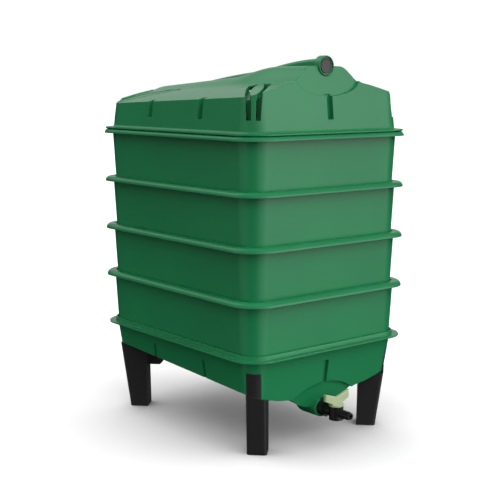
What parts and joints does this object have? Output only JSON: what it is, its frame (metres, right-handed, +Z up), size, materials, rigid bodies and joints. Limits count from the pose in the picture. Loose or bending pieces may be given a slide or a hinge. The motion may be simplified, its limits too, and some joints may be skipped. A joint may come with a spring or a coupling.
{
  "type": "wormery",
  "caption": "Stacking wormery with a humped lid over nested green trays, a sloping liquid collector on four grey legs and a drain tap at its front.",
  "frame": {"origin": "on the floor, at the centre of the whole part's box seen from above", "axes": "+Z up, -Y towards the end with the tap, +X to the right seen from the tap"},
  "size_m": [0.442, 0.5954, 0.781],
  "materials": {
    "green": "satin moulded dark green plastic",
    "plug": "dull brown grey plastic",
    "leg": "satin dark grey plastic",
    "tap": "satin black plastic",
    "handle": "satin pale cream green plastic",
    "washer": "black rubber"
  },
  "bodies": {
    "base": {"collector_tray": "green", "leg_front_left": "leg", "leg_front_right": "leg", "leg_back_left": "leg", "leg_back_right": "leg", "tap_body": "tap", "tap_washer": "washer", "tap_nut": "tap"},
    "tray_1": {"tray_1": "green"},
    "tray_2": {"tray_2": "green"},
    "tray_3": {"tray_3": "green"},
    "tray_4": {"tray_4": "green"},
    "lid": {"lid": "green", "lid_end_plug": "plug"},
    "tap_key": {"tap_key": "handle"}
  },
  "joints": [
    {"name": "tray_1_lift", "type": "slide", "parent": "base", "child": "tray_1", "axis": [0, 0, 1], "range_m": [0, 0.1]},
    {"name": "tray_2_lift", "type": "slide", "parent": "tray_1", "child": "tray_2", "axis": [0, 0, 1], "range_m": [0, 0.1]},
    {"name": "tray_3_lift", "type": "slide", "parent": "tray_2", "child": "tray_3", "axis": [0, 0, 1], "range_m": [0, 0.1]},
    {"name": "tray_4_lift", "type": "slide", "parent": "tray_3", "child": "tray_4", "axis": [0, 0, 1], "range_m": [0, 0.1]},
    {"name": "lid_lift", "type": "slide", "parent": "tray_4", "child": "lid", "axis": [0, 0, 1], "range_m": [0, 0.1]},
    {"name": "tap_key_turn", "type": "hinge", "parent": "base", "child": "tap_key", "pos_m": [0, -0.25575, 0.0695], "axis": [0, 0, 1], "range_deg": [0, 90]}
  ]
}
